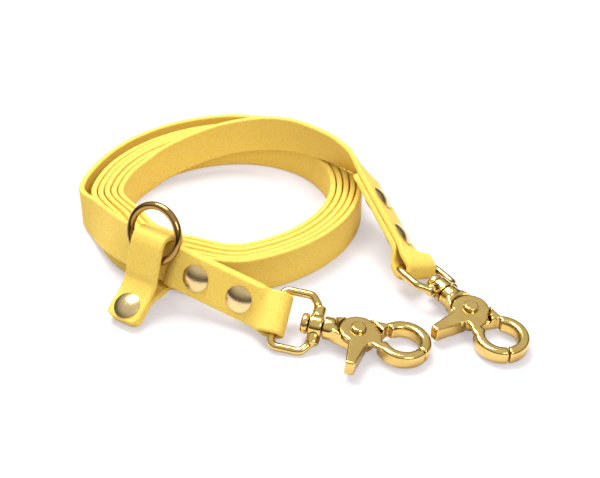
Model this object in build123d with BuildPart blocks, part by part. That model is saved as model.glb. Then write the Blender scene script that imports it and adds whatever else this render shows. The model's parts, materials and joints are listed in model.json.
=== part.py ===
"""Two-ended training leash: one coiled flat strap, a scissor snap on each end and an O-ring on a tab.

Units are millimetres. +Z is up, the leash lies on the floor plane Z = 0 and the origin is under the
middle of its bounding box. Every sub-part is written to parts/<node>.step.
"""
from build123d import *
import math
import os

os.makedirs("parts", exist_ok=True)

# ------------------------------------------------------------------ strap
STRAP_W = 16.0          # width of the coated webbing
STRAP_T = 2.4           # thickness of the coated webbing

# ------------------------------------------------------------------ coil
COIL_CENTRE = Vector(-26.73, 20.1)  # centre of the coil on the floor
COIL_START_R = 39.8     # centreline radius at zero turn
COIL_PITCH = 2.6        # growth of the radius in one turn
COIL_OVAL = 0.059       # how much longer the long axis is, as a share of the radius
COIL_OVAL_AZ = 23.8     # direction of the long axis, degrees
COIL_FIRST = 150.0      # turn angle where the inner lead leaves the coil, degrees
COIL_LAST = 1835.0      # turn angle where the outer lead leaves the coil, degrees
COIL_STEP = 15.0        # spacing of the points on the coil's outline, degrees
FRAME_STEP = 7.0        # spacing of the sections along the two leads
LEAD_GAP = 0.1          # the leaning lead lies this far off the turns below it

# ------------------------------------------------------------------ riveted ends
RIVET_SPACING = 18.5    # between the two rivets of an end
TAIL_MARGIN = 11.5      # cut end of the tail to the first rivet
LOOP_REACH = 15.0       # second rivet to the middle of the eye bar
FLAT_AFTER_RIVET = 5.6  # the layers stay together this far past the second rivet
LOOP_GAP = 4.4          # inside diameter of the strap's loop round the eye bar
LOOP_STRAIGHT = 2.4     # straight legs of that loop

# ------------------------------------------------------------------ rivets
CAP_D = 10.2            # domed cap
CAP_H = 1.7             # height of the dome over the strap
CAP_RIM = 0.35          # thickness of the cap's rim
POST_D = 3.0            # rivet post

# ------------------------------------------------------------------ ring and tab
RING_OD = 24.4
RING_WIRE = 3.0
TAB_W = 14.0            # width of the tab's strap
TAB_T = 2.2             # thickness of the tab's strap
TAB_CLEAR = 1.5         # play between the tab and the strap it rides on
TAB_SLIDE = 2.0         # how far the tab slides along the strap, each way
TAB_FLARE = 53.0        # the tab's tails point this far below the lead's normal, degrees
TAB_FLARE_LENGTH = 14.0
TAB_RIVET_UP = 5.8      # foot of the tab to its rivet
TAB_BEND_R = 1.5
TAB_FROM_END = -2       # the tab rides this many sections from the lead's end
LEANING_SECTIONS = 14   # sections of the outer lead that lean over the coil
TAB_JOIN = 1.4          # the layers lie together from this far below the knee
TAB_JOIN_R = 1.5
LAYER_LAP = 0.1         # the glued layers are one solid
TAB_ROOM_BACK = 5.4     # room behind the tab's back leg
RING_CLEAR = 0.6        # play between the ring's wire and the tab's front leg
RING_OUT = 2.8          # ring to the lead's face, past the tail that starts beside the tab

# ------------------------------------------------------------------ scissor snap
EYE_ROD = 3.2           # rod of the eye
EYE_INNER_W = 18.8      # clear width of the eye
EYE_LENGTH = 15.0       # eye bar to the middle of the boss
EYE_SHOULDER_X = -3.5   # where the eye's sides turn in to the boss
EYE_CORNER_R = 2.6
BOSS_L = 5.0            # along the swivel axis
BOSS_D = 8.6
BOSS_SPAN = 13.0        # across the eye
SWIVEL_POST_D = 3.6
RUN_CLEAR = 0.05        # radial running clearance of a shaft in its bore
FACE_CLEAR = 0.3        # gap between faces that turn past each other
HEAD_D = 7.8            # peened head of the swivel post
HEAD_L = 2.8
COLLAR_D = 8.6
COLLAR_L = 4.6
HOOK_T = 6.0            # thickness of the hook
PLATE_T = 1.9           # trigger plate over the body
PIVOT_X = 15.5          # swivel boss to trigger pivot
PIVOT_D = 3.2
DOME_D = 6.0
DOME_H = 1.3
PLATE_R = 7.0
JAW_X = 32.3            # swivel boss to the middle of the jaws
JAW_R = 10.2            # outside radius of the closed jaws
JAW_HOLE_R = 6.1        # inside radius of the closed jaws
JAW_EDGE_R = 1.3        # rounding of the jaws' edges
LEVER_LENGTH = 18.6     # pivot to the thumb end of the trigger
LEVER_T = 3.4           # width of the lever near its end
SHANK_W = 8.0
FIXED_JAW_START = 140.0  # directions seen from the jaws' middle, degrees
FIXED_JAW_END = -26.0
MOVING_JAW_START = -152.0
MOVING_JAW_END = -28.5
DOME_GAP = 0.15         # under the pivot's dome
SPRING_WIRE = 0.6
SPRING_R = 2.9          # mean radius of the trigger spring
SPRING_TURNS = 2.0
SPRING_POCKET = 2.2


def unit(x, y, z):
    """A direction of length one."""
    return Vector(x, y, z).normalized()


def polar(angle_deg, radius, z=0.0):
    """A point of the coil's plan, seen from the coil's centre."""
    a = math.radians(angle_deg)
    return Vector(radius * math.cos(a), radius * math.sin(a), z)


def coil_radius(turn_deg):
    """Centreline radius of the coil after a turn angle that keeps counting past 360."""
    base = COIL_START_R + COIL_PITCH * turn_deg / 360.0
    return base * (1 + COIL_OVAL * math.cos(2 * math.radians(turn_deg - COIL_OVAL_AZ)))


def coil_point(turn_deg, offset, z=0.0):
    """A point beside the coil's centreline, in the part's frame."""
    return COIL_CENTRE + polar(turn_deg, coil_radius(turn_deg) + offset, z)


def from_coil(x, y, z):
    """A point given from the coil's centre, in the part's frame."""
    return COIL_CENTRE + Vector(x, y, z)


def strap_frame(middle, tangent, lean_deg):
    """Plane across the strap: x to the left of its run, y to its upper edge, z along the run.

    lean_deg turns the upper edge to the left.
    """
    left = Vector(0, 0, 1).cross(tangent).normalized()
    up = tangent.cross(left)
    a = math.radians(lean_deg)
    across = up * math.cos(a) + left * math.sin(a)
    return Plane(origin=middle, x_dir=across.cross(tangent), z_dir=tangent)


def strap_frames(first, stations, last):
    """Planes across the strap along a smooth run, from frame first to frame last.

    stations are (point, lean) pairs. The run is cut into short pieces of even length.
    """
    points = [first.origin] + [point for point, lean in stations] + [last.origin]
    leans = [0] + [lean for point, lean in stations] + [last_lean(last)]
    route = Spline(*points)
    pieces = round(route.length / FRAME_STEP)
    marks = [route.param_at_point(point) for point in points]
    frames = []
    for i in range(1, pieces):
        u = i / pieces
        span = max(k for k in range(len(marks) - 1) if marks[k] <= u)
        share = (u - marks[span]) / (marks[span + 1] - marks[span])
        lean = leans[span] + (leans[span + 1] - leans[span]) * share
        frames.append(strap_frame(route @ u, route % u, lean))
    return [first] + frames + [last]


def last_lean(frame):
    """Lean of a frame across the strap, degrees to the left of its run."""
    left = Vector(0, 0, 1).cross(frame.z_dir).normalized()
    up = frame.z_dir.cross(left)
    return math.degrees(math.atan2(frame.y_dir.dot(left), frame.y_dir.dot(up)))


def place(solid, frame):
    """A piece modelled about its own frame, moved to where it lies in the leash."""
    return frame.location * solid


def save(part, node):
    """Label a finished piece and write its STEP file."""
    part.label = node
    export_step(part, f"parts/{node}.step")


# ------------------------------------------------------------------ where the hooks lie
def hook_frame(boss, azimuth, droop):
    """Frame of a snap: x along the swivel axis to the hook's tip, z out of the trigger plate."""
    az = math.radians(azimuth)
    dr = math.radians(droop)
    axis = Vector(math.cos(az) * math.cos(dr), math.sin(az) * math.cos(dr), -math.sin(dr))
    left = Vector(-math.sin(az), math.cos(az), 0)
    return Plane(origin=boss, x_dir=axis, z_dir=axis.cross(left))


def eye_frame(hook, roll):
    """Frame of a snap's eye: the hook's frame rolled about the swivel axis, y along the eye bar."""
    a = math.radians(roll)
    bar = hook.y_dir * math.cos(a) + hook.z_dir * math.sin(a)
    return Plane(origin=hook.origin, x_dir=hook.x_dir, z_dir=hook.x_dir.cross(bar))


HOOK_A = hook_frame(from_coil(36.5, -75.1, 6.9), -13.0, 4.8)
HOOK_B = hook_frame(from_coil(84.4, -53.7, 6.2), -53.0, 3.8)
EYE_A = eye_frame(HOOK_A, 31.0)
EYE_B = eye_frame(HOOK_B, 155.0)


# ------------------------------------------------------------------ where the riveted ends lie
END_LENGTH = TAIL_MARGIN + RIVET_SPACING + LOOP_REACH   # cut end of the tail to the loop's middle


def end_frames(eye, side_play, tail_hint, across_hint):
    """Frames of a riveted end: at the tail's cut end, and at the middle of its loop.

    x points to the running layer, y to the upper edge and z to the snap.
    """
    loop = eye.from_local_coords((-EYE_LENGTH, side_play, 0))
    run = (loop - tail_hint).normalized()
    across = (across_hint - run * across_hint.dot(run)).normalized()
    start = Plane(origin=loop - run * END_LENGTH, x_dir=across.cross(run), z_dir=run)
    bar = eye.y_dir
    out = (run - bar * run.dot(bar)).normalized()
    return start, Plane(origin=loop, x_dir=bar.cross(out), z_dir=out)


SIDE_PLAY = 0.9         # the loop sits this far off the middle of the eye bar
END_A, LOOP_A = end_frames(EYE_A, SIDE_PLAY, from_coil(-17.6, -51.2, 16.6), Vector(0.32, 0.30, 0.90))
END_B, LOOP_B = end_frames(EYE_B, SIDE_PLAY, from_coil(56.5, -2.6, 23.2), Vector(-0.49, -0.49, 0.72))

# ------------------------------------------------------------------ the two leads out of the coil
def end_section(end):
    """Section of the running layer where a riveted end starts."""
    middle = end.from_local_coords((STRAP_T / 2, 0, 0))
    return Plane(origin=middle, x_dir=end.x_dir, z_dir=end.z_dir)


# the outer lead drifts off the coil, then leans over it towards its snap: point, lean
OUTER_DRIFT = [(1848, 0.8), (1865, 2.6), (1890, 4.8), (1920, 4.8), (1950, 3.6), (1980, 2.6)]
OUTER_LIFT = 0.25        # the loose turn stands this far off the floor
OUTER_RUN = [
    (from_coil(-51.8, -12.3, 8.9), 16),
    (from_coil(-47.5, -19.6, 10.2), 22),
    (from_coil(-41.5, -29.6, 13.4), 24),
    (from_coil(-34.9, -37.6, 15.4), 23),
    (from_coil(-28.0, -43.9, 16.4), 22),
]
outer_stations = [(coil_point(turn, off, STRAP_W / 2 + OUTER_LIFT), 0) for turn, off in OUTER_DRIFT] + OUTER_RUN
outer_start = Plane(
    origin=coil_point(COIL_LAST, 0, STRAP_W / 2),
    x_dir=-polar(COIL_LAST, 1),
    z_dir=polar(COIL_LAST + 90, 1),
)
OUTER_FRAMES = strap_frames(outer_start, outer_stations, end_section(END_A))
TAB_FRAME = OUTER_FRAMES[TAB_FROM_END]

# the inner lead climbs out of the coil and crosses its top towards its snap: point, lean
INNER_RUN = [
    (from_coil(-29.0, 25.8, 9.6), 0),
    (from_coil(-17.6, 32.0, 12.6), 0),
    (from_coil(-3.5, 36.6, 15.6), 0),
    (from_coil(9.6, 37.0, 18.2), 0),
    (from_coil(20.0, 33.9, 20.6), 0),
    (from_coil(28.8, 28.8, 22.6), -3),
    (from_coil(36.9, 21.8, 24.2), -8),
    (from_coil(44.6, 14.0, 25.3), -12),
    (from_coil(50.8, 6.5, 25.8), -20),
]
INNER_CLIMB = (coil_point(COIL_FIRST - 6, -0.3, STRAP_W / 2 + 0.7), 0)
inner_start = Plane(
    origin=coil_point(COIL_FIRST, 0, STRAP_W / 2),
    x_dir=polar(COIL_FIRST, 1),
    z_dir=polar(COIL_FIRST - 90, 1),
)
INNER_FRAMES = strap_frames(inner_start, [INNER_CLIMB] + INNER_RUN, end_section(END_B))


def strap_loft(frames, left, right, top=STRAP_W / 2):
    """A run of flat strap through its frames, from `right` to `left` of its middle."""
    width = top + STRAP_W / 2
    with BuildPart() as run:
        for frame in frames:
            middle = Plane(
                origin=frame.from_local_coords(((left + right) / 2, top - width / 2, 0)),
                x_dir=frame.x_dir,
                z_dir=frame.z_dir,
            )
            with BuildSketch(middle):
                Rectangle(left - right, width)
        loft(ruled=True)
    return run.part


# strap_lead_a: the outermost turn, from the coil to the riveted end with the tab on it
with BuildPart() as strap_lead_a:
    add(strap_loft(OUTER_FRAMES, STRAP_T / 2, -STRAP_T / 2))
save(strap_lead_a.part, "strap_lead_a")

# strap_lead_b: the innermost turn, from the coil to the other riveted end
with BuildPart() as strap_lead_b:
    add(strap_loft(INNER_FRAMES, STRAP_T / 2, -STRAP_T / 2))
save(strap_lead_b.part, "strap_lead_b")


# ------------------------------------------------------------------ strap_coil
def coil_outline(first_turn, offset):
    """One turn of the coil's outline from first_turn, beside the centreline by offset."""
    steps = round(360 / COIL_STEP)
    return [coil_point(first_turn + i * COIL_STEP, offset) for i in range(steps + 1)]


OUTER_ROOM = 14.0       # depth of the room that is cut beside the coil
ROOM_BEFORE = 2.0       # the room for the riveted end starts this far before the tail
ROOM_AFTER = 4.0        # and ends this far past its first rivet
leaning = OUTER_FRAMES[-LEANING_SECTIONS:]
lean_room = strap_loft(leaning, STRAP_T / 2 + LEAD_GAP, -OUTER_ROOM, STRAP_W)

with BuildPart() as strap_coil:
    with BuildSketch() as turns:
        for first, offset, mode in (
            (COIL_LAST - 360, STRAP_T / 2, Mode.ADD),
            (COIL_FIRST, -STRAP_T / 2, Mode.SUBTRACT),
        ):
            outline = coil_outline(first, offset)
            with BuildLine() as rim:
                Spline(*outline)
                Line(outline[-1], outline[0])
            make_face(mode=mode)
    extrude(amount=STRAP_W)
    add(lean_room, mode=Mode.SUBTRACT)
    # room for the riveted end's doubled strap beside the coil
    with BuildSketch(END_A.offset(-ROOM_BEFORE)):
        with Locations((STRAP_T + LEAD_GAP - OUTER_ROOM / 2, STRAP_W / 2)):
            Rectangle(OUTER_ROOM, 2 * STRAP_W)
    extrude(amount=TAIL_MARGIN + ROOM_AFTER, mode=Mode.SUBTRACT)
    # room for the tab's back leg, as far as the tab slides
    with BuildSketch(TAB_FRAME):
        with Locations((TAB_ROOM_BACK - OUTER_ROOM / 2, 0)):
            Rectangle(OUTER_ROOM, 2 * STRAP_W)
    extrude(amount=TAB_W / 2 + TAB_SLIDE + FACE_CLEAR, both=True, mode=Mode.SUBTRACT)
save(strap_coil.part.solids().sort_by(SortBy.VOLUME)[-1], "strap_coil")


# ------------------------------------------------------------------ riveted strap ends
def rivet_frames(start):
    """Frames at the two rivets of an end, x through the strap, on the face between the layers."""
    return [start.offset(TAIL_MARGIN), start.offset(TAIL_MARGIN + RIVET_SPACING)]


def riveted_end(start, loop):
    """The strap's end: a tail folded back round the eye bar, with two rivet holes."""
    flat = TAIL_MARGIN + RIVET_SPACING + FLAT_AFTER_RIVET
    loop_mid = (LOOP_GAP + STRAP_T) / 2
    split = start.offset(flat)
    with BuildPart() as end:
        with BuildSketch(start):
            Rectangle(2 * STRAP_T, STRAP_W)
        extrude(amount=flat)
        for side in (1, -1):
            bend = Plane(
                origin=split.from_local_coords((side * STRAP_T / 2, 0, 0)),
                x_dir=split.x_dir,
                z_dir=split.z_dir,
            )
            leg = Plane(
                origin=loop.from_local_coords((side * loop_mid, 0, -LOOP_STRAIGHT)),
                x_dir=loop.x_dir,
                z_dir=loop.z_dir,
            )
            with BuildSketch(bend):
                Rectangle(STRAP_T, STRAP_W)
            with BuildSketch(leg):
                Rectangle(STRAP_T, STRAP_W)
            loft()
            with BuildSketch(leg):
                Rectangle(STRAP_T, STRAP_W)
            extrude(amount=LOOP_STRAIGHT)
        fold = Plane(origin=loop.origin, x_dir=loop.z_dir, z_dir=loop.y_dir)
        with BuildSketch(fold):
            Circle(LOOP_GAP / 2 + STRAP_T)
            Circle(LOOP_GAP / 2, mode=Mode.SUBTRACT)
            with Locations((-STRAP_W / 2, 0)):
                Rectangle(STRAP_W, STRAP_W, mode=Mode.SUBTRACT)
        extrude(amount=STRAP_W / 2, both=True)
        for frame in rivet_frames(start):
            through = Plane(origin=frame.origin, x_dir=frame.y_dir, z_dir=frame.x_dir)
            with BuildSketch(through):
                Circle(POST_D / 2)
            extrude(amount=2 * STRAP_T, both=True, mode=Mode.SUBTRACT)
    return end.part


save(riveted_end(END_A, LOOP_A), "strap_end_a")
save(riveted_end(END_B, LOOP_B), "strap_end_b")


# ------------------------------------------------------------------ rivets
def rivet(through, stack):
    """A two-piece rivet: a domed cap with a post, and a domed cap pressed on its far end.

    through looks out of the front face of the stack, from the middle of its thickness.
    """
    rise = CAP_H - CAP_RIM
    dome_r = (CAP_D ** 2 / 4 + rise ** 2) / (2 * rise)
    dome_half = math.degrees(math.asin(CAP_D / 2 / dome_r))
    caps = []
    for side in (1, -1):
        face = Plane(
            origin=through.origin + through.z_dir * (side * stack / 2),
            x_dir=through.x_dir,
            z_dir=through.z_dir * side,
        )
        with BuildPart() as cap:
            with BuildSketch(Plane.XZ):
                with BuildLine():
                    Line((0, 0), (CAP_D / 2, 0))
                    Line((CAP_D / 2, 0), (CAP_D / 2, CAP_RIM))
                    CenterArc((0, CAP_H - dome_r), dome_r, 90 - dome_half, dome_half)
                    Line((0, CAP_H), (0, 0))
                make_face()
            revolve(axis=Axis.Z)
            if side == 1:
                with BuildSketch(Plane.XY):
                    Circle(POST_D / 2)
                extrude(amount=-stack)
        caps.append(place(cap.part, face))
    return caps


for letter, start in (("a", END_A), ("b", END_B)):
    for number, frame in enumerate(rivet_frames(start), 1):
        through = Plane(origin=frame.origin, x_dir=frame.y_dir, z_dir=-frame.x_dir)
        front_cap, back_cap = rivet(through, 2 * STRAP_T)
        save(front_cap, f"rivet_{letter}{number}_post_cap")
        save(back_cap, f"rivet_{letter}{number}_back_cap")

# ------------------------------------------------------------------ ring_tab
# the tab rides over the outer lead: x to the coil, y to the lead's upper edge, z along the lead
tab_front = -(STRAP_T / 2 + RING_OUT + RING_WIRE + RING_CLEAR + TAB_T / 2)
tab_back = STRAP_T / 2 + TAB_CLEAR + TAB_T / 2
tab_top = STRAP_W / 2 + TAB_CLEAR + TAB_T / 2
tab_under = -STRAP_W / 2 - TAB_CLEAR - TAB_T / 2
flare_angle = math.radians(TAB_FLARE)
flare = Vector(-math.cos(flare_angle), -math.sin(flare_angle))
layer = Vector(math.sin(flare_angle), -math.cos(flare_angle)) * (TAB_T - LAYER_LAP)
knee = Vector(tab_front, tab_under)
foot = knee + flare * TAB_FLARE_LENGTH
rivet_spot = foot + layer / 2 - flare * TAB_RIVET_UP
tab_rivet = Plane(
    origin=TAB_FRAME.from_local_coords(rivet_spot),
    x_dir=TAB_FRAME.z_dir,
    z_dir=TAB_FRAME.x_dir * -layer.X + TAB_FRAME.y_dir * -layer.Y,
)
with BuildPart() as ring_tab:
    with BuildSketch(TAB_FRAME):
        with BuildLine():
            FilletPolyline(
                foot,
                knee,
                (tab_front, tab_top),
                (tab_back, tab_top),
                (tab_back, tab_under),
                radius=TAB_BEND_R,
            )
        trace(line_width=TAB_T)
        with BuildLine():
            FilletPolyline(
                (tab_back, 0),
                (tab_back, tab_under),
                knee + layer + flare * TAB_JOIN,
                foot + layer,
                radius=TAB_JOIN_R,
            )
        trace(line_width=TAB_T)
    extrude(amount=TAB_W / 2, both=True)
    with BuildSketch(tab_rivet):
        Circle(POST_D / 2)
    extrude(amount=2 * TAB_T, both=True, mode=Mode.SUBTRACT)
save(ring_tab.part, "ring_tab")

tab_cap, tab_back_cap = rivet(tab_rivet, 2 * TAB_T - LAYER_LAP)
save(tab_cap, "rivet_tab_post_cap")
save(tab_back_cap, "rivet_tab_back_cap")

# ------------------------------------------------------------------ o_ring
ring_middle = (-(STRAP_T / 2 + RING_OUT + RING_WIRE / 2), tab_top, 0)
RING_FRAME = Plane(
    origin=TAB_FRAME.from_local_coords(ring_middle),
    x_dir=TAB_FRAME.z_dir,
    z_dir=-TAB_FRAME.x_dir,
)
with BuildPart() as o_ring:
    Torus((RING_OD - RING_WIRE) / 2, RING_WIRE / 2)
save(place(o_ring.part, RING_FRAME), "o_ring")


# ------------------------------------------------------------------ scissor snaps
SHANK_LAP = 1.0         # the shank starts this far inside the collar
NECK_DEPTH = 2.0        # lower edge of the shank beside the plate
JAW_LAP = 1.0           # the shank reaches this far into the jaw's ring
STEP_Y = 3.6            # the body is full height from here on, beside the jaw
CHEEK = 0.9             # corner of the trigger plate, of the plate's radius
CHEEK_SIDE = 0.5        # the plate's front stops this far from the jaws' hole
CHEEK_LAP = 2.2         # the plate reaches this far into the moving jaw
CHEEK_TOP = 2.6         # upper corner of the plate at the jaws
LEVER_ROOT_BACK = 3.0   # the lever's root, behind the pivot
LEVER_ROOT_FRONT = 5.5  # the lever's root, in front of the pivot
LEVER_TIP_BACK = 1.2    # the lever's tip, behind the pivot
NECK_BACK = 2.3         # the neck of the lever, behind the pivot
NECK_FRONT = 4.5        # the neck of the lever, in front of the pivot
NECK_REACH = 8.0        # the neck's reach below the pivot
DOME_ROUND = 0.8        # rounding of the pivot's dome, of its height
# each piece is modelled along the swivel axis x, with z out of the trigger plate
head_end = -BOSS_L / 2 - FACE_CLEAR
collar_start = BOSS_L / 2 + FACE_CLEAR
collar_end = collar_start + COLLAR_L
layer_top = HOOK_T / 2 - PLATE_T - FACE_CLEAR     # top of the body under the trigger plate
plate_bottom = HOOK_T / 2 - PLATE_T
clear_r = PLATE_R + FACE_CLEAR                    # everything at the plate's height stays outside


def snap_eye():
    """The eye: a bent rod with the swivel boss between its ends."""
    half = (EYE_INNER_W + EYE_ROD) / 2
    with BuildPart() as eye:
        with BuildLine() as rod:
            FilletPolyline(
                (0, -BOSS_SPAN / 2),
                (EYE_SHOULDER_X, -half),
                (-EYE_LENGTH, -half),
                (-EYE_LENGTH, half),
                (EYE_SHOULDER_X, half),
                (0, BOSS_SPAN / 2),
                radius=EYE_CORNER_R,
            )
        with BuildSketch(Plane(origin=rod.line @ 0, z_dir=rod.line % 0)):
            Circle(EYE_ROD / 2)
        sweep()
        # crossbar between the rod's ends, and the boss on it
        with BuildSketch(Plane.XZ):
            Circle(BOSS_L / 2)
        extrude(amount=BOSS_SPAN / 2 + EYE_ROD / 4, both=True)
        with BuildSketch(Plane.YZ):
            Circle(BOSS_D / 2)
        extrude(amount=BOSS_L / 2, both=True)
        with BuildSketch(Plane.YZ):
            Circle(SWIVEL_POST_D / 2 + RUN_CLEAR)
        extrude(amount=2 * BOSS_L, both=True, mode=Mode.SUBTRACT)
    return eye.part


def jaw_ring(first_deg, last_deg):
    """A sector of the rounded ring that the two jaws make, seen from the jaws' middle."""
    with BuildPart() as sector:
        with BuildSketch(Plane.XZ):
            with Locations(((JAW_R + JAW_HOLE_R) / 2, 0)):
                RectangleRounded(JAW_R - JAW_HOLE_R, HOOK_T, JAW_EDGE_R)
        revolve(axis=Axis.Z, revolution_arc=last_deg - first_deg)
    return Plane(origin=(JAW_X, 0, 0)).location * Rot(0, 0, first_deg) * sector.part


def snap_body():
    """Swivel post, collar, shank, the layer under the trigger plate and the fixed jaw."""
    with BuildPart() as body:
        with BuildSketch(Plane.YZ.offset(head_end - HEAD_L)):
            Circle(HEAD_D / 2)
        extrude(amount=HEAD_L)
        fillet(body.faces().sort_by(Axis.X)[0].edges(), HEAD_L / 3)
        with BuildSketch(Plane.YZ.offset(head_end)):
            Circle(SWIVEL_POST_D / 2)
        extrude(amount=collar_start - head_end)
        with BuildSketch(Plane.YZ.offset(collar_start)):
            Circle(COLLAR_D / 2)
        extrude(amount=COLLAR_L)
        fillet(body.faces().sort_by(Axis.X)[-1].edges(), COLLAR_L / 3)
        # shank, cut down to a lower layer where the trigger plate turns on it
        with BuildSketch(Plane.XY.offset(-HOOK_T / 2)):
            with BuildLine():
                Polyline(
                    (collar_end - SHANK_LAP, -SHANK_W / 2),
                    (PIVOT_X, -PLATE_R),
                    (PIVOT_X + PLATE_R, -NECK_DEPTH),
                    (JAW_X - JAW_R + JAW_LAP, -JAW_LAP),
                    (JAW_X - JAW_HOLE_R, JAW_HOLE_R),
                    (PIVOT_X, PLATE_R),
                    (collar_end - SHANK_LAP, SHANK_W / 2),
                    close=True,
                )
            make_face()
            with Locations((PIVOT_X, 0)):
                Circle(PLATE_R)
            with Locations((JAW_X, 0)):
                Circle(JAW_HOLE_R, mode=Mode.SUBTRACT)
        extrude(amount=HOOK_T)
        add(jaw_ring(FIXED_JAW_END, FIXED_JAW_START))
        with BuildSketch(Plane.XY.offset(layer_top)):
            with Locations((PIVOT_X, 0)):
                Circle(clear_r)
            with BuildLine():
                Polyline(
                    (PIVOT_X, 0),
                    (PIVOT_X + PLATE_R, -JAW_R),
                    (JAW_X, -JAW_R),
                    (JAW_X - JAW_HOLE_R + JAW_LAP, 0),
                    (JAW_X - JAW_R, STEP_Y),
                    close=True,
                )
            make_face()
        extrude(amount=HOOK_T, mode=Mode.SUBTRACT)
        # pocket for the trigger spring, hole and counterbore for the pivot rivet
        with BuildSketch(Plane.XY.offset(layer_top)):
            with Locations((PIVOT_X, 0)):
                Circle(SPRING_R + SPRING_WIRE)
        extrude(amount=-SPRING_POCKET, mode=Mode.SUBTRACT)
        with BuildSketch(Plane.XY.offset(-HOOK_T / 2)):
            with Locations((PIVOT_X, 0)):
                Circle(PIVOT_D / 2)
        extrude(amount=HOOK_T, mode=Mode.SUBTRACT)
    return body.part


def snap_trigger():
    """Trigger plate, thumb lever and moving jaw in one piece, turning on the pivot."""
    with BuildPart() as trigger:
        with BuildSketch(Plane.XY.offset(plate_bottom)):
            with Locations((PIVOT_X, 0)):
                Circle(PLATE_R)
            with BuildLine():
                Polyline(
                    (PIVOT_X, -PLATE_R),
                    (PIVOT_X + PLATE_R * CHEEK, -PLATE_R * CHEEK),
                    (JAW_X - JAW_HOLE_R - CHEEK_SIDE, -JAW_R + CHEEK_LAP),
                    (JAW_X - JAW_R + CHEEK_LAP, 0),
                    (JAW_X - JAW_R, CHEEK_TOP),
                    (PIVOT_X, PLATE_R),
                    close=True,
                )
            make_face()
            with Locations((JAW_X, 0)):
                Circle(JAW_HOLE_R, mode=Mode.SUBTRACT)
        extrude(amount=PLATE_T)
        add(jaw_ring(MOVING_JAW_START, MOVING_JAW_END))
        with BuildSketch(Plane.XY.offset(-HOOK_T / 2)):
            with BuildLine():
                Polyline(
                    (PIVOT_X - LEVER_ROOT_BACK, 0),
                    (PIVOT_X - LEVER_TIP_BACK, -LEVER_LENGTH),
                    (PIVOT_X - LEVER_TIP_BACK + LEVER_T, -LEVER_LENGTH),
                    (PIVOT_X + LEVER_ROOT_FRONT, 0),
                    close=True,
                )
            make_face()
            with Locations((PIVOT_X, 0)):
                Circle(clear_r, mode=Mode.SUBTRACT)
        extrude(amount=HOOK_T)
        with BuildSketch(Plane.XY.offset(plate_bottom)):
            with BuildLine():
                Polyline(
                    (PIVOT_X - LEVER_ROOT_BACK, 0),
                    (PIVOT_X - NECK_BACK, -NECK_REACH),
                    (PIVOT_X + NECK_FRONT, -NECK_REACH),
                    (PIVOT_X + LEVER_ROOT_FRONT, 0),
                    close=True,
                )
            make_face()
        extrude(amount=PLATE_T)
        # the body's layer turns inside the lower part
        with BuildSketch(Plane.XY.offset(-HOOK_T / 2)):
            with Locations((PIVOT_X, 0)):
                Circle(clear_r)
        extrude(amount=plate_bottom + HOOK_T / 2, mode=Mode.SUBTRACT)
        with BuildSketch(Plane.XY.offset(-HOOK_T / 2)):
            with Locations((PIVOT_X, 0)):
                Circle(PIVOT_D / 2 + RUN_CLEAR)
        extrude(amount=HOOK_T, mode=Mode.SUBTRACT)
    return trigger.part


def pivot_rivet():
    """The pivot: a pin fixed in the body, with a dome over the trigger plate."""
    with BuildPart() as pin:
        with BuildSketch(Plane(origin=(PIVOT_X, 0, -HOOK_T / 2))):
            Circle(PIVOT_D / 2)
        extrude(amount=HOOK_T + DOME_GAP)
        with BuildSketch(Plane(origin=(PIVOT_X, 0, HOOK_T / 2 + DOME_GAP))):
            Circle(DOME_D / 2)
        extrude(amount=DOME_H)
        fillet(pin.faces().sort_by(Axis.Z)[-1].edges(), DOME_H * DOME_ROUND)
    return pin.part


def trigger_spring():
    """Torsion spring in the body's pocket, round the pivot."""
    floor = layer_top - SPRING_POCKET + SPRING_WIRE / 2
    pitch = (SPRING_POCKET - SPRING_WIRE) / SPRING_TURNS
    with BuildPart() as spring:
        with BuildLine() as coils:
            Helix(pitch=pitch, height=SPRING_POCKET - SPRING_WIRE, radius=SPRING_R,
                  center=(PIVOT_X, 0, floor))
        with BuildSketch(Plane(origin=coils.line @ 0, z_dir=coils.line % 0)):
            Circle(SPRING_WIRE / 2)
        sweep()
    return spring.part


for letter, hook, eye in (("a", HOOK_A, EYE_A), ("b", HOOK_B, EYE_B)):
    save(place(snap_eye(), eye), f"snap_{letter}_eye")
    save(place(snap_body(), hook), f"snap_{letter}_body")
    save(place(snap_trigger(), hook), f"snap_{letter}_trigger")
    save(place(pivot_rivet(), hook), f"snap_{letter}_pivot")
    save(place(trigger_spring(), hook), f"snap_{letter}_spring")
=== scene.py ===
"""A two-ended training leash: a coiled yellow strap, two brass scissor snaps and an O-ring on a tab."""
import json
import math
from collections import namedtuple

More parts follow.
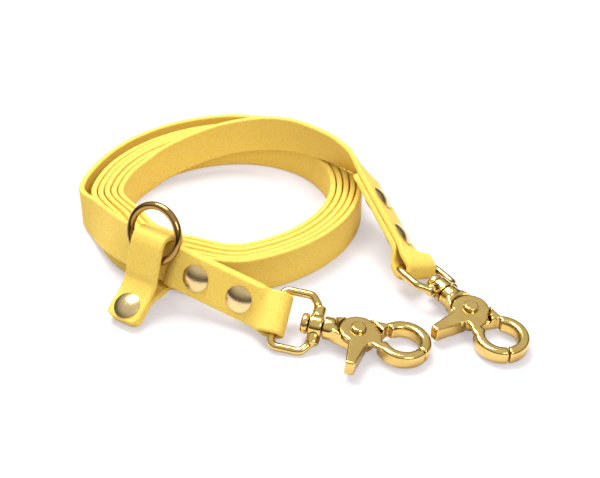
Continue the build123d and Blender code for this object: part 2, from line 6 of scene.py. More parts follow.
import bmesh
import bpy
from bpy.props import FloatProperty, FloatVectorProperty, PointerProperty
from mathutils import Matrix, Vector


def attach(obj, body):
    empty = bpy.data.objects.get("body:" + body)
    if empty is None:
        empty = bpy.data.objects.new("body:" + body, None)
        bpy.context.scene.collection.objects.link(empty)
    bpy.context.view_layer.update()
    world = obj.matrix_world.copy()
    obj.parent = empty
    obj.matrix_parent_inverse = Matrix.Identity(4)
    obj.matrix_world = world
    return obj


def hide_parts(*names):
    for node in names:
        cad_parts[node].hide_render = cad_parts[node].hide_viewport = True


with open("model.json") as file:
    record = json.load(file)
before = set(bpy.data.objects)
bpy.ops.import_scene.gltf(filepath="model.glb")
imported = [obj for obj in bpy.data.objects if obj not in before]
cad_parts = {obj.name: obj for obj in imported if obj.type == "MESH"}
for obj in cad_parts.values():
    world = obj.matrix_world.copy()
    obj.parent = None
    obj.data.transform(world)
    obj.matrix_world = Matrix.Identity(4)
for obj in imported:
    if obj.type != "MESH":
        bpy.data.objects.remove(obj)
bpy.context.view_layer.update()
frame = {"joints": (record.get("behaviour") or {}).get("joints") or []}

bl_info = {
    "name": "Training leash",
    "version": (1, 0, 0),
    "blender": (4, 5, 0),
    "location": "View3D > Sidebar > Leash",
    "description": "Builds a coiled training leash with its snaps, rivets, tab and ring",
    "category": "Add Mesh",
}

MM = 0.001
UP = Vector((0, 0, 1))

# where the leash lies, in millimetres on the floor
COIL_CENTRE = Vector((-26.73, 20.1, 0))
COIL_START_R = 39.8
COIL_PITCH = 2.6
COIL_OVAL = 0.059
COIL_OVAL_AZ = 23.8
COIL_FIRST = 150.0
COIL_LAST = 1835.0
BEND_STEP = 2.6           # spacing of the sections along the strap
TURN_STEP = 3.4           # degrees between the coil's sections
FACE_INSET = 0.35         # a row of points this far in keeps the flat faces flat
STRAP_HALF_T = 1.2        # room for half the strap's thickness inside the tab
STRAP_HALF_W = 8.0        # and for half its width

# the outer lead: turn and distance off the coil, then place from the coil's centre and lean
OUTER_DRIFT = [(1848, 0.8), (1865, 2.6), (1890, 4.8), (1920, 4.8), (1950, 3.6), (1980, 2.6)]
OUTER_LIFT = 0.25
OUTER_RUN = [
    (-51.8, -12.3, 8.9, 16),
    (-47.5, -19.6, 10.2, 22),
    (-41.5, -29.6, 13.4, 24),
    (-34.9, -37.6, 15.4, 23),
    (-28.0, -43.9, 16.4, 22),
]
# the inner lead, climbing out of the coil and over its top
INNER_RUN = [
    (-29.0, 25.8, 9.6, 0),
    (-17.6, 32.0, 12.6, 0),
    (-3.5, 36.6, 15.6, 0),
    (9.6, 37.0, 18.2, 0),
    (20.0, 33.9, 20.6, 0),
    (28.8, 28.8, 22.6, -3),
    (36.9, 21.8, 24.2, -8),
    (44.6, 14.0, 25.3, -12),
    (50.8, 6.5, 25.8, -20),
]
# the turns lean in, and sit a little closer, where the outer lead leans over them
LEAN_RISE = (180.0, 206.0)
LEAN_FALL = (246.0, 284.0)
TURN_LEAN = 22.0
TURN_SHIFT = 2.0

# the riveted ends
SIDE_PLAY = 0.9           # the loop sits off the middle of the eye bar
TAIL_MARGIN = 11.5
RIVET_SPACING = 18.5
LOOP_REACH = 15.0
FLAT_AFTER_RIVET = 5.6
LOOP_GAP = 4.4
LOOP_STRAIGHT = 2.4
EYE_LENGTH = 15.0
END_LENGTH = TAIL_MARGIN + RIVET_SPACING + LOOP_REACH

# the tab on the outer lead
TAB_W = 14.0
TAB_T = 2.2
TAB_CLEAR = 1.5
TAB_FLARE = 53.0
TAB_FLARE_LENGTH = 14.0
RING_CLEAR = 0.6
RING_OUT = 2.8
RING_WIRE = 3.0
TAB_STEP = 0.9            # spacing of the tab's sections
TAB_CORNER = 3.0          # rounding of the foot's corners

# the polished castings
CAST_GRAIN = 0.28
CAST_POLISH = 32

Frame = namedtuple("Frame", "at x y z")


# ---------------------------------------------------------------- settings
class StrapSettings(bpy.types.PropertyGroup):
    width: FloatProperty(
        name="Width", description="Width of the strap, in millimetres", default=16.0, min=8, max=25)
    thickness: FloatProperty(
        name="Thickness", description="Thickness of the strap, in millimetres", default=2.3, min=1, max=3)
    edge: FloatProperty(
        name="Edge", description="Rounding of the strap's edges, in millimetres",
        default=0.75, min=0.2, max=1)
    colour: FloatVectorProperty(
        name="Colour", description="Colour of the coating, sRGB", subtype="COLOR_GAMMA",
        size=3, default=(1.0, 0.84, 0.0), min=0, max=1)


class BrassSettings(bpy.types.PropertyGroup):
    snap_colour: FloatVectorProperty(
        name="Snap brass", description="Colour of the polished snaps, sRGB", subtype="COLOR_GAMMA",
        size=3, default=(0.85, 0.73, 0.43), min=0, max=1)
    rivet_colour: FloatVectorProperty(
        name="Rivet brass", description="Colour of the rivet caps, sRGB", subtype="COLOR_GAMMA",
        size=3, default=(0.86, 0.76, 0.55), min=0, max=1)
    ring_colour: FloatVectorProperty(
        name="Ring", description="Colour of the O-ring, sRGB", subtype="COLOR_GAMMA",
        size=3, default=(0.66, 0.53, 0.30), min=0, max=1)


class StageSettings(bpy.types.PropertyGroup):
    elevation: FloatProperty(
        name="Elevation", description="Height of the camera over the floor, in degrees", default=37.3)
    distance: FloatProperty(
        name="Distance", description="Camera to the middle of the view, in millimetres", default=500.0)
    lens: FloatProperty(name="Lens", description="Focal length, in millimetres", default=73.5)


# ---------------------------------------------------------------- frames
def turned(v, axis, degrees):
    """v turned about axis."""
    a = math.radians(degrees)
    return v * math.cos(a) + axis.cross(v) * math.sin(a) + axis * axis.dot(v) * (1 - math.cos(a))


def local(f, x, y, z):
    """A point given in frame f."""
    return f.at + f.x * x + f.y * y + f.z * z


def hook_frame(boss, azimuth, droop):
    """Frame of a snap, x along its swivel axis."""
    az, dr = math.radians(azimuth), math.radians(droop)
    axis = Vector((math.cos(az) * math.cos(dr), math.sin(az) * math.cos(dr), -math.sin(dr)))
    left = Vector((-math.sin(az), math.cos(az), 0))
    return Frame(COIL_CENTRE + Vector(boss), axis, left, axis.cross(left))


def eye_frame(hook, roll):
    """The snap's frame rolled about the swivel axis, y along the eye bar."""
    bar = turned(hook.y, hook.x, roll)
    return Frame(hook.at, hook.x, bar, hook.x.cross(bar))


def end_frames(eye, side_play, tail_hint, across_hint):
    """Frames of a riveted end: at the tail's cut end, and at the middle of its loop."""
    loop = local(eye, -EYE_LENGTH, side_play, 0)
    run = (loop - COIL_CENTRE - Vector(tail_hint)).normalized()
    hint = Vector(across_hint)
    across = (hint - run * hint.dot(run)).normalized()
    start = Frame(loop - run * END_LENGTH, across.cross(run), across, run)
    out = (run - eye.y * run.dot(eye.y)).normalized()
    return start, Frame(loop, eye.y.cross(out), eye.y, out)


HOOK_A = hook_frame((36.5, -75.1, 6.9), -13.0, 4.8)
HOOK_B = hook_frame((84.4, -53.7, 6.2), -53.0, 3.8)
EYE_A = eye_frame(HOOK_A, 31.0)
EYE_B = eye_frame(HOOK_B, 155.0)
END_A, LOOP_A = end_frames(EYE_A, SIDE_PLAY, (-17.6, -51.2, 16.6), (0.32, 0.30, 0.90))
END_B, LOOP_B = end_frames(EYE_B, SIDE_PLAY, (56.5, -2.6, 23.2), (-0.49, -0.49, 0.72))


# ---------------------------------------------------------------- the strap's route
Section = namedtuple("Section", "at across out")    # middle, to the upper edge, out of the face


def smooth(a, b, x):
    """0 below a, 1 above b, and smooth between."""
    t = min(max((x - a) / (b - a), 0), 1)
    return t * t * (3 - 2 * t)


def coil_place(turn, off=0.0):
    """A point beside the coil's centreline on the floor, and the direction out of the coil."""
    a = math.radians(turn)
    radius = COIL_START_R + COIL_PITCH * turn / 360
    radius *= 1 + COIL_OVAL * math.cos(2 * math.radians(turn - COIL_OVAL_AZ))
    outward = Vector((math.cos(a), math.sin(a), 0))
    return COIL_CENTRE + outward * (radius + off), outward


def coil_section(turn, width):
    """A section of the nested turns, leaning where the outer lead presses on them."""
    theta = turn % 360
    press = smooth(*LEAN_RISE, theta) * (1 - smooth(*LEAN_FALL, theta))
    foot, outward = coil_place(turn, -TURN_SHIFT * press)
    lean = math.radians(TURN_LEAN * press)
    across = UP * math.cos(lean) - outward * math.sin(lean)
    # the turns don't stand quite level: a slow wave and a slower one, in millimetres
    ragged = 0.22 + 0.16 * math.sin(turn * 0.023) + 0.1 * math.sin(turn * 0.0071 + 2)
    middle = foot + across * (width / 2) + UP * ragged
    return Section(middle, across, -(outward * math.cos(lean) + UP * math.sin(lean)))


def through(points, step):
    """Even steps along a smooth run through (place, lean) points, the outer two left out."""
    steps = []
    for i in range(1, len(points) - 2):
        p = [points[i + k][0] for k in (-1, 0, 1, 2)]
        q = [points[i + k][1] for k in (-1, 0, 1, 2)]
        # knots by the root of the distance keep the run from overshooting
        t = [0.0]
        for a, b in zip(p, p[1:]):
            t.append(t[-1] + max((b - a).length, 1e-6) ** 0.5)
        count = max(1, round((p[2] - p[1]).length / step))
        for j in range(count):
            u = t[1] + (t[2] - t[1]) * j / count
            a1 = p[0].lerp(p[1], (u - t[0]) / (t[1] - t[0]))
            a2 = p[1].lerp(p[2], (u - t[1]) / (t[2] - t[1]))
            a3 = p[2].lerp(p[3], (u - t[2]) / (t[3] - t[2]))
            b1 = a1.lerp(a2, (u - t[0]) / (t[2] - t[0]))
            b2 = a2.lerp(a3, (u - t[1]) / (t[3] - t[1]))
            place = b1.lerp(b2, (u - t[1]) / (t[2] - t[1]))
            share = smooth(0, 1, j / count)
            steps.append((place, q[1] + (q[2] - q[1]) * share))
    steps.append((points[-2][0], points[-2][1]))
    return steps


def leaning_sections(steps, before, after, flip):
    """Sections along a run of (place, lean) steps; flip is -1 where out is to the right."""
    places = [before] + [place for place, lean in steps] + [after]
    sections = []
    for i, (place, lean) in enumerate(steps):
        run = (places[i + 2] - places[i]).normalized()
        left = UP.cross(run).normalized()
        across = turned(run.cross(left), run, -lean)
        sections.append(Section(place, across, across.cross(run) * flip))
    return sections


def lean_of(f):
    """Lean of a frame across the strap, degrees to the left of its run."""
    left = UP.cross(f.z).normalized()
    return math.degrees(math.atan2(f.y.dot(left), f.y.dot(f.z.cross(left))))


def outer_lead(width, thickness):
    """The outermost turn and its run to end A, from the coil on."""
    mid = width / 2
    points = [(coil_place(COIL_LAST + turn)[0] + UP * mid, 0) for turn in (-16, 0)]
    points += [(coil_place(turn, off)[0] + UP * (mid + OUTER_LIFT), 0) for turn, off in OUTER_DRIFT]
    points += [(COIL_CENTRE + Vector((x, y, z)), lean) for x, y, z, lean in OUTER_RUN]
    start = local(END_A, thickness / 2, 0, 0)
    points += [(start, lean_of(END_A)), (start + END_A.z * 9, 0)]
    steps = through(points, BEND_STEP)
    return leaning_sections(steps, points[0][0], points[-1][0], 1)


def inner_lead(width, thickness):
    """The innermost turn's run to end B, from the coil on."""
    mid = width / 2
    points = [(coil_place(COIL_FIRST + turn)[0] + UP * mid, 0) for turn in (6, 0)]
    points += [(coil_place(COIL_FIRST - 6, -0.3)[0] + UP * (mid + 0.7), 0)]
    points += [(COIL_CENTRE + Vector((x, y, z)), lean) for x, y, z, lean in INNER_RUN]
    start = local(END_B, thickness / 2, 0, 0)
    points += [(start, lean_of(END_B)), (start + END_B.z * 9, 0)]
    steps = through(points, BEND_STEP)
    return leaning_sections(steps, points[0][0], points[-1][0], -1)


def end_sections(start, loop, thickness, flip):
    """The riveted end's sections from its running layer round the eye bar to the tail's cut."""
    flat = TAIL_MARGIN + RIVET_SPACING + FLAT_AFTER_RIVET
    loop_mid = (LOOP_GAP + thickness) / 2
    sections = []
    sides = {}
    for side in (1, -1):
        layer = [
            Section(local(start, side * thickness / 2, 0, d), start.y, start.x * (side * flip))
            for d in [flat * i / 10 for i in range(11)]
        ]
        leg = local(loop, side * loop_mid, 0, -LOOP_STRAIGHT)
        first = layer[-1]
        span = (leg - first.at).length
        for i in range(1, 7):
            t = i / 7
            # leaves along the end and arrives along the loop's leg
            h0 = (1 + 2 * t) * (1 - t) ** 2
            h1 = t * t * (3 - 2 * t)
            at = first.at * h0 + leg * h1
            at += start.z * (span * t * (1 - t) ** 2) + loop.z * (span * t * t * (t - 1))
            across = first.across.lerp(loop.y, h1).normalized()
            run = start.z.lerp(loop.z, t).normalized()
            out = across.cross(run).normalized() * (side * flip)
            layer.append(Section(at, across, out))
        layer.append(Section(leg, loop.y, loop.x * (side * flip)))
        sides[side] = layer
    sections += sides[1]
    for i in range(13):
        a = math.pi * i / 12
        out = loop.x * math.cos(a) + loop.z * math.sin(a)
        sections.append(Section(loop.at + out * loop_mid, loop.y, out * flip))
    sections += reversed(sides[-1])
    return sections


def strap_route(width, thickness):
    """Every section of the strap, from the tail of end A to the tail of end B."""
    count = int((COIL_LAST - COIL_FIRST) / TURN_STEP)
    turns = [COIL_LAST - i * TURN_STEP for i in range(1, count)]
    end_a = end_sections(END_A, LOOP_A, thickness, 1)
    end_b = end_sections(END_B, LOOP_B, thickness, -1)
    outer = outer_lead(width, thickness)
    inner = inner_lead(width, thickness)
    coil = [coil_section(turn, width) for turn in turns]
    return list(reversed(end_a))[:-1] + list(reversed(outer)) + coil + inner + end_b[1:]


# ---------------------------------------------------------------- strips of strap
def strip_profile(width, thickness, edge):
    """Outline of a strap's section with rounded edges, as (across, out) pairs."""
    half_w, half_t = width / 2, thickness / 2
    outline = []
    for sx, sy, start in ((1, 1, 0), (-1, 1, 90), (-1, -1, 180), (1, -1, 270)):
        corner_across = sx * (half_w - edge)
        corner_out = sy * (half_t - edge)
        for i in range(4):
            a = math.radians(start + 30 * i)
            outline.append((corner_across + edge * math.cos(a), corner_out + edge * math.sin(a)))
        if sy * sx > 0:
            outline.append((outline[-1][0] - sx * FACE_INSET, outline[-1][1]))
            outline.append((-sx * (half_w - edge - FACE_INSET), sy * half_t))
    return outline


def strip_mesh(name, sections, width, thickness, edge, corner=0.0):
    """A strap through its sections, with a UV map in millimetres and its cut ends as slot 1."""
    outline = strip_profile(width, thickness, edge)
    bm = bmesh.new()
    uv = bm.loops.layers.uv.new("strap")
    lengths = [0.0]
    for a, b in zip(sections, sections[1:]):
        lengths.append(lengths[-1] + (b.at - a.at).length)

    def narrowing(s):
        """How much a rounded corner takes off the half width at this length."""
        d = min(s, lengths[-1] - s)
        if d >= corner:
            return 0
        return corner - math.sqrt(max(corner ** 2 - (corner - d) ** 2, 0))

    def lay(verts, section, s):
        cut = 1 - narrowing(s) / (width / 2)
        for v, (across, out) in zip(verts, outline):
            v.co = (section.at + section.across * (across * cut) + section.out * out) * MM

    ring = [bm.verts.new((0, 0, 0)) for point in outline]
    lay(ring, sections[0], 0)
    edges = [bm.edges.new((a, b)) for a, b in zip(ring, ring[1:] + ring[:1])]
    first = bm.faces.new(ring)
    first.material_index = 1
    for section, s0, s1 in zip(sections[1:], lengths, lengths[1:]):
        grown = bmesh.ops.extrude_edge_only(bm, edges=edges)["geom"]
        new_edges = [g for g in grown if isinstance(g, bmesh.types.BMEdge)]
        faces = [g for g in grown if isinstance(g, bmesh.types.BMFace)]
        new_ring = []
        for v in ring:
            new_ring.append(next(e.other_vert(v) for e in v.link_edges if e.other_vert(v) not in ring
                                 and any(e in f.edges for f in faces)))
        lay(new_ring, section, s1)
        place = {v: (s1, i) for i, v in enumerate(new_ring)}
        place.update({v: (s0, i) for i, v in enumerate(ring)})
        for f in faces:
            f.smooth = True
            for loop in f.loops:
                s, i = place[loop.vert]
                loop[uv].uv = (s, outline[i][0])
        ring = new_ring
        edges = [e for e in new_edges if all(v in new_ring for v in e.verts)]
    last = bm.faces.new(ring)
    last.material_index = 1
    bmesh.ops.recalc_face_normals(bm, faces=bm.faces)
    mesh = bpy.data.meshes.new(name)
    bm.to_mesh(mesh)
    bm.free()
    obj = bpy.data.objects.new(name, mesh)
    bpy.context.scene.collection.objects.link(obj)
    return obj, lengths[-1]


# ---------------------------------------------------------------- materials
def linear(srgb):
    """sRGB hex text or three numbers to the linear colour that a shader wants."""
    if isinstance(srgb, str):
        srgb = [int(srgb[i:i + 2], 16) / 255 for i in (1, 3, 5)]
    return tuple(c / 12.92 if c <= 0.04045 else ((c + 0.055) / 1.055) ** 2.4 for c in srgb) + (1.0,)


def add(tree, kind, settings=None, inputs=None):
    """Add a node with its settings; an input is a value, or the socket that feeds it."""
    node = tree.nodes.new(kind)
    for key, value in (settings or {}).items():
        setattr(node, key, value)
    for key, value in (inputs or {}).items():
        if isinstance(value, bpy.types.NodeSocket):
            tree.links.new(value, node.inputs[key])
        else:
            node.inputs[key].default_value = value
    return node


def new_material(name):
    """An empty material with its node tree and a Principled shader on the output."""
    material = bpy.data.materials.new(name)
    material.use_nodes = True
    tree = material.node_tree
    tree.nodes.clear()
    shader = add(tree, "ShaderNodeBsdfPrincipled")
    add(tree, "ShaderNodeOutputMaterial", {}, {"Surface": shader.outputs[0]})
    return material, tree, shader


def coated_webbing(name, srgb):
    """PVC-coated webbing: a smooth plastic skin with the weave just showing through."""
    material, tree, shader = new_material(name)
    where = add(tree, "ShaderNodeTexCoord")
    # the coating is a little uneven in colour, in patches about 17 mm across
    patches = add(tree, "ShaderNodeTexNoise", {}, {
        "Vector": where.outputs["Object"], "Scale": 60.0, "Detail": 3.0})
    base = linear(srgb)
    deep = tuple(c * k for c, k in zip(base, (0.98, 0.95, 0.8))) + (1.0,)
    colour = add(tree, "ShaderNodeMix", {"data_type": "RGBA"}, {
        0: patches.outputs["Fac"], 6: deep, 7: base})
    # threads of the core, 1 mm apart, pressed into the coating
    uv = add(tree, "ShaderNodeUVMap", {"uv_map": "strap"})
    weave = add(tree, "ShaderNodeTexWave", {"bands_direction": "X"}, {
        "Vector": uv.outputs["UV"], "Scale": 0.32, "Distortion": 0.6, "Detail": 1.0})
    cords = add(tree, "ShaderNodeTexWave", {"bands_direction": "Y"}, {
        "Vector": uv.outputs["UV"], "Scale": 0.28, "Distortion": 0.4, "Detail": 1.0})
    pressed = add(tree, "ShaderNodeMath", {"operation": "MULTIPLY"}, {
        0: weave.outputs["Fac"], 1: cords.outputs["Fac"]})
    # slow waves in the skin, about 3 mm long
    grain = add(tree, "ShaderNodeTexNoise", {}, {
        "Vector": where.outputs["Object"], "Scale": 350.0, "Detail": 1.0})
    relief = add(tree, "ShaderNodeBump", {}, {
        "Height": pressed.outputs[0], "Strength": 0.05, "Distance": 0.0001})
    fine = add(tree, "ShaderNodeBump", {}, {
        "Height": grain.outputs["Fac"], "Strength": 0.03, "Distance": 0.00003, "Normal": relief.outputs[0]})
    gloss = add(tree, "ShaderNodeMapRange", {}, {
        "Value": grain.outputs["Fac"], "To Min": 0.36, "To Max": 0.42})
    tree.links.new(colour.outputs[2], shader.inputs["Base Color"])
    tree.links.new(gloss.outputs[0], shader.inputs["Roughness"])
    tree.links.new(fine.outputs[0], shader.inputs["Normal"])
    shader.inputs["IOR"].default_value = 1.46
    return material


def cut_webbing(name):
    """The cut end: pale polyester threads under the coating."""
    material, tree, shader = new_material(name)
    where = add(tree, "ShaderNodeTexCoord")
    # thread ends 0.4 mm apart
    threads = add(tree, "ShaderNodeTexVoronoi", {}, {"Vector": where.outputs["Object"], "Scale": 2500.0})
    colour = add(tree, "ShaderNodeMix", {"data_type": "RGBA"}, {
        0: threads.outputs["Distance"], 6: linear("#E9D36A"), 7: linear("#D9A92A")})
    bump = add(tree, "ShaderNodeBump", {}, {
        "Height": threads.outputs["Distance"], "Strength": 0.5, "Distance": 0.0002})
    tree.links.new(colour.outputs[2], shader.inputs["Base Color"])
    tree.links.new(bump.outputs[0], shader.inputs["Normal"])
    shader.inputs["Roughness"].default_value = 0.8
    return material


def brass(name, srgb, roughness, wear):
    """Solid brass, polished, a little browned where it is handled."""
    material, tree, shader = new_material(name)
    where = add(tree, "ShaderNodeTexCoord")
    base = linear(srgb)
    # handling browns and dulls the polish in soft patches about 6 mm wide
    dull = add(tree, "ShaderNodeTexNoise", {}, {
        "Vector": where.outputs["Object"], "Scale": 170.0, "Detail": 5.0})
    shade = add(tree, "ShaderNodeMapRange", {}, {
        "Value": dull.outputs["Fac"], "From Min": 0.35, "From Max": 0.75, "To Min": 0.0, "To Max": wear})
    browned = tuple(c * k for c, k in zip(base, (0.72, 0.62, 0.5))) + (1.0,)
    colour = add(tree, "ShaderNodeMix", {"data_type": "RGBA"}, {
        0: shade.outputs[0], 6: base, 7: browned})
    gloss = add(tree, "ShaderNodeMapRange", {}, {
        "Value": dull.outputs["Fac"], "To Min": roughness * 0.7, "To Max": roughness * 1.5})
    # the casting's skin ripples a little under the polish
    ripple = add(tree, "ShaderNodeTexNoise", {}, {
        "Vector": where.outputs["Object"], "Scale": 450.0, "Detail": 2.0})
    skin = add(tree, "ShaderNodeBump", {}, {
        "Height": ripple.outputs["Fac"], "Strength": 0.08, "Distance": 0.0001})
    tree.links.new(colour.outputs[2], shader.inputs["Base Color"])
    tree.links.new(gloss.outputs[0], shader.inputs["Roughness"])
    tree.links.new(skin.outputs[0], shader.inputs["Normal"])
    shader.inputs["Metallic"].default_value = 1.0
    return material


def spring_wire(name):
    """Drawn stainless spring wire, bright with fine drawing lines."""
    material, tree, shader = new_material(name)
    where = add(tree, "ShaderNodeTexCoord")
    lines = add(tree, "ShaderNodeTexNoise", {}, {"Vector": where.outputs["Object"], "Scale": 3000.0})
    gloss = add(tree, "ShaderNodeMapRange", {}, {
        "Value": lines.outputs["Fac"], "To Min": 0.2, "To Max": 0.35})
    tree.links.new(gloss.outputs[0], shader.inputs["Roughness"])
    shader.inputs["Base Color"].default_value = linear("#B9BBBE")
    shader.inputs["Metallic"].default_value = 1.0
    return material


def floor_material(name):
    """A seamless pale table top that keeps a soft shadow."""
    material, tree, shader = new_material(name)
    tree.nodes.remove(shader)
    output = next(n for n in tree.nodes if n.type == "OUTPUT_MATERIAL")
    card = add(tree, "ShaderNodeBsdfDiffuse", {}, {"Color": (0.76, 0.74, 0.76, 1)})
    glow = add(tree, "ShaderNodeEmission", {}, {"Color": (0.93, 0.89, 0.92, 1), "Strength": 1.0})
    ray = add(tree, "ShaderNodeLightPath")
    share = add(tree, "ShaderNodeMath", {"operation": "MULTIPLY"}, {
        0: ray.outputs["Is Camera Ray"], 1: 0.45})
    both = add(tree, "ShaderNodeMixShader", {}, {
        0: share.outputs[0], 1: card.outputs[0], 2: glow.outputs[0]})
    tree.links.new(both.outputs[0], output.inputs["Surface"])
    return material


# ---------------------------------------------------------------- pieces
def cast_copy(node, material, body):
    """A CAD node's shape with its edges and corners rounded off as in a polished casting."""
    bm = bmesh.new()
    bm.from_mesh(bpy.data.objects[node].data)
    bmesh.ops.remove_doubles(bm, verts=bm.verts, dist=0.00001)
    mesh = bpy.data.meshes.new(node + "_cast")
    bm.to_mesh(mesh)
    bm.free()
    obj = bpy.data.objects.new(node + "_cast", mesh)
    bpy.context.scene.collection.objects.link(obj)
    skin = obj.modifiers.new("even skin", "REMESH")
    skin.mode = "VOXEL"
    skin.voxel_size = CAST_GRAIN * MM
    skin.use_smooth_shade = True
    polish = obj.modifiers.new("polish", "SMOOTH")
    polish.factor = 0.5
    polish.iterations = CAST_POLISH
    mesh.materials.append(material)
    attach(obj, body)
    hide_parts(node)
    return obj


def paint(node, material):
    """Give a CAD node its finish."""
    mesh = bpy.data.objects[node].data
    mesh.materials.clear()
    mesh.materials.append(material)


class LEASH_OT_strap(bpy.types.Operator):
    """Lay the whole strap, from one riveted end through the coil to the other"""
    bl_idname = "leash.strap"
    bl_label = "Strap"

    def execute(self, context):
        s = context.scene.leash_strap
        route = strap_route(s.width, s.thickness)
        strap, length = strip_mesh("leash_strap", route, s.width, s.thickness, s.edge)
        strap.data.materials.append(coated_webbing("PVC coated webbing", s.colour))
        strap.data.materials.append(cut_webbing("Cut webbing"))
        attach(strap, "leash")
        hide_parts("strap_coil", "strap_lead_a", "strap_lead_b", "strap_end_a", "strap_end_b")
        print("strap length mm", round(length))
        return {"FINISHED"}


def tab_sections():
    """The tab's sections: front leg from the foot, over the lead, down and out to the foot."""
    f = tab_frame()
    front = -(STRAP_HALF_T + RING_OUT + RING_WIRE + RING_CLEAR + TAB_T / 2)
    back = STRAP_HALF_T + TAB_CLEAR + TAB_T / 2
    top = STRAP_HALF_W + TAB_CLEAR + TAB_T / 2
    under = -STRAP_HALF_W - TAB_CLEAR - TAB_T / 2
    a = math.radians(TAB_FLARE)
    flare = Vector((-math.cos(a), -math.sin(a), 0))
    layer = Vector((math.sin(a), -math.cos(a), 0)) * (TAB_T - 0.05)
    knee = Vector((front, under, 0))
    foot = knee + flare * TAB_FLARE_LENGTH
    corners = [
        foot,
        foot - flare * 5,
        knee + flare * 3,
        knee + Vector((0.3, 3.0, 0)),
        Vector((front + 0.1, under / 2, 0)),
        Vector((front, 0, 0)),
        Vector((front + 0.1, top - 2.6, 0)),
        Vector((front + 1.1, top - 0.5, 0)),
        Vector((front + 3.2, top, 0)),
        Vector((back - 3.2, top, 0)),
        Vector((back - 0.9, top - 0.6, 0)),
        Vector((back, top - 2.8, 0)),
        Vector((back, 0, 0)),
        Vector((back, under + 3.5, 0)),
        Vector((back - 1.4, under + 0.6, 0)),
        Vector((back - 5.0, under - 1.2, 0)),
        knee + layer + flare * 3.2,
        foot + layer - flare * 5,
        foot + layer,
    ]
    route = [corners[0] * 2 - corners[1]] + corners + [corners[-1] * 2 - corners[-2]]
    steps = [place for place, lean in through([(place, 0) for place in route], TAB_STEP)]
    sections = []
    for i, place in enumerate(steps):
        run = (steps[min(i + 1, len(steps) - 1)] - steps[max(i - 1, 0)]).normalized()
        out = Vector((-run.y, run.x, 0))
        sections.append(Section(
            local(f, place.x, place.y, 0), f.z, f.x * out.x + f.y * out.y))
    return sections


def tab_frame():
    """Frame of the outer lead where the tab rides, read from the tab's slide and the ring."""
    joints = {joint["name"]: joint for joint in frame["joints"]}
    slide = Vector(joints["tab_slide"]["axis"])
    turn = joints["ring_turn"]
    out = -Vector(turn["axis"])
    up = slide.cross(out)
    ring = Vector(turn["pos_m"]) / MM
    middle = ring + out * (STRAP_HALF_T + RING_OUT + RING_WIRE / 2)
    middle -= up * (STRAP_HALF_W + TAB_CLEAR + TAB_T / 2)
    return Frame(middle, out, up, slide)


class LEASH_OT_tab(bpy.types.Operator):
    """Fold the ring's tab over the outer lead"""
    bl_idname = "leash.tab"
    bl_label = "Ring tab"

    def execute(self, context):
        s = context.scene.leash_strap
        tab, length = strip_mesh("tab_strip", tab_sections(), TAB_W, TAB_T, s.edge, corner=TAB_CORNER)
        tab.data.materials.append(bpy.data.materials["PVC coated webbing"])
        tab.data.materials.append(bpy.data.materials["Cut webbing"])
        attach(tab, "tab")
        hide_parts("ring_tab")
        print("tab length mm", round(length))
        return {"FINISHED"}


class LEASH_OT_snaps(bpy.types.Operator):
    """Finish the two scissor snaps in polished brass"""
    bl_idname = "leash.snaps"
    bl_label = "Snaps"

    def execute(self, context):
        s = context.scene.leash_brass
        polished = brass("Polished cast brass", s.snap_colour, 0.13, 0.45)
        wire = spring_wire("Spring wire")
        for letter in "ab":
            cast_copy(f"snap_{letter}_eye", polished, f"eye_{letter}")
            cast_copy(f"snap_{letter}_body", polished, f"hook_{letter}")
            cast_copy(f"snap_{letter}_trigger", polished, f"trigger_{letter}")
            paint(f"snap_{letter}_pivot", polished)
            paint(f"snap_{letter}_spring", wire)
        return {"FINISHED"}


class LEASH_OT_rivets(bpy.types.Operator):
    """Finish the rivet caps and the O-ring"""
    bl_idname = "leash.rivets"
    bl_label = "Rivets and ring"

    def execute(self, context):
        s = context.scene.leash_brass
        cap = brass("Satin brass rivet", s.rivet_colour, 0.2, 0.35)
        for name in ("a1", "a2", "b1", "b2", "tab"):
            for side in ("post", "back"):
                paint(f"rivet_{name}_{side}_cap", cap)
        paint("o_ring", brass("Bronzed brass ring", s.ring_colour, 0.12, 0.6))
        return {"FINISHED"}


def area_light(name, at, size, watts):
    """A soft lamp over the table, looking at the middle."""
    data = bpy.data.lights.new(name, "AREA")
    data.shape = "RECTANGLE"
    data.size, data.size_y = size
    data.energy = watts
    lamp = bpy.data.objects.new(name, data)
    bpy.context.scene.collection.objects.link(lamp)
    lamp.location = at
    lamp.rotation_euler = (-Vector(at)).to_track_quat("-Z", "Y").to_euler()
    return lamp


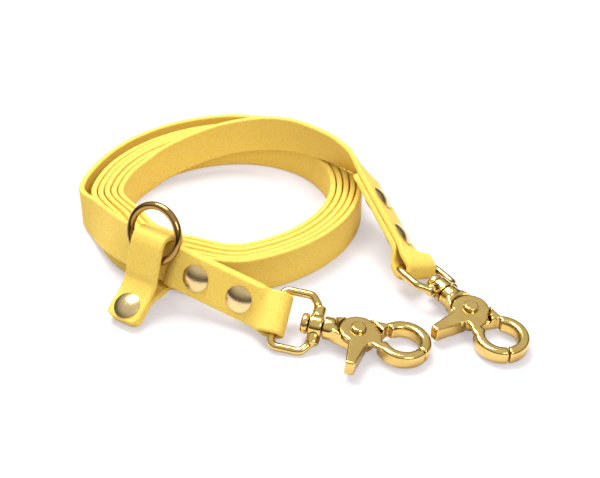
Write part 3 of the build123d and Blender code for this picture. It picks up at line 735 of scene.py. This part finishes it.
class LEASH_OT_stage(bpy.types.Operator):
    """Put up the table, the lamps and the camera"""
    bl_idname = "leash.stage"
    bl_label = "Stage"

    def execute(self, context):
        s = context.scene.leash_stage
        bm = bmesh.new()
        bmesh.ops.create_grid(bm, x_segments=1, y_segments=1, size=3.0)
        mesh = bpy.data.meshes.new("table_top")
        bm.to_mesh(mesh)
        bm.free()
        table = bpy.data.objects.new("table_top", mesh)
        context.scene.collection.objects.link(table)
        mesh.materials.append(floor_material("Pale table"))
        area_light("key", (-0.15, 0.25, 0.75), (0.5, 0.4), 9.0)
        area_light("fill", (0.35, -0.55, 0.6), (0.3, 0.3), 2.6)
        world = bpy.data.worlds.new("studio")
        context.scene.world = world
        world.use_nodes = True
        tree = world.node_tree
        tree.nodes.clear()
        # the room is bright overhead and dark towards the walls, which the brass mirrors
        ray = add(tree, "ShaderNodeLightPath")
        where = add(tree, "ShaderNodeTexCoord")
        parts = add(tree, "ShaderNodeSeparateXYZ", {}, {0: where.outputs["Generated"]})
        height = add(tree, "ShaderNodeMapRange", {"interpolation_type": "SMOOTHSTEP"}, {
            "Value": parts.outputs["Z"], "From Min": 0.1, "From Max": 0.75, "To Min": 0.06, "To Max": 0.85})
        soft = add(tree, "ShaderNodeBackground", {}, {
            "Color": (0.97, 0.98, 1, 1), "Strength": height.outputs[0]})
        white = add(tree, "ShaderNodeBackground", {}, {"Color": (1, 1, 1, 1), "Strength": 1.0})
        mix = add(tree, "ShaderNodeMixShader", {}, {
            0: ray.outputs["Is Camera Ray"], 1: soft.outputs[0], 2: white.outputs[0]})
        add(tree, "ShaderNodeOutputWorld", {}, {"Surface": mix.outputs[0]})
        data = bpy.data.cameras.new("camera")
        data.lens = s.lens
        data.sensor_width = 36
        camera = bpy.data.objects.new("camera", data)
        context.scene.collection.objects.link(camera)
        aim = Vector((3.87, 6.2, 0)) * MM
        e = math.radians(s.elevation)
        camera.location = aim + Vector((0, -math.cos(e), math.sin(e))) * s.distance * MM
        camera.rotation_euler = (aim - camera.location).to_track_quat("-Z", "Y").to_euler()
        context.scene.camera = camera
        context.scene.view_settings.view_transform = "Standard"
        return {"FINISHED"}


class LEASH_PT_panel(bpy.types.Panel):
    """Sizes, colours and steps of the leash"""
    bl_label = "Training leash"
    bl_idname = "LEASH_PT_panel"
    bl_space_type = "VIEW_3D"
    bl_region_type = "UI"
    bl_category = "Leash"

    def draw(self, context):
        scene = context.scene
        for group in (scene.leash_strap, scene.leash_brass, scene.leash_stage):
            for prop in group.__annotations__:
                self.layout.prop(group, prop)
        for step in STEPS:
            self.layout.operator(step.bl_idname)


STEPS = (LEASH_OT_strap, LEASH_OT_tab, LEASH_OT_snaps, LEASH_OT_rivets, LEASH_OT_stage)
CLASSES = (StrapSettings, BrassSettings, StageSettings) + STEPS + (LEASH_PT_panel,)


def register():
    for cls in CLASSES:
        bpy.utils.register_class(cls)
    bpy.types.Scene.leash_strap = PointerProperty(type=StrapSettings)
    bpy.types.Scene.leash_brass = PointerProperty(type=BrassSettings)
    bpy.types.Scene.leash_stage = PointerProperty(type=StageSettings)


def unregister():
    del bpy.types.Scene.leash_stage
    del bpy.types.Scene.leash_brass
    del bpy.types.Scene.leash_strap
    for cls in reversed(CLASSES):
        bpy.utils.unregister_class(cls)


def main():
    """Build the leash and note its size."""
    register()
    bpy.ops.leash.strap()
    bpy.ops.leash.tab()
    bpy.ops.leash.snaps()
    bpy.ops.leash.rivets()
    bpy.ops.leash.stage()


if __name__ == "__main__":
    main()
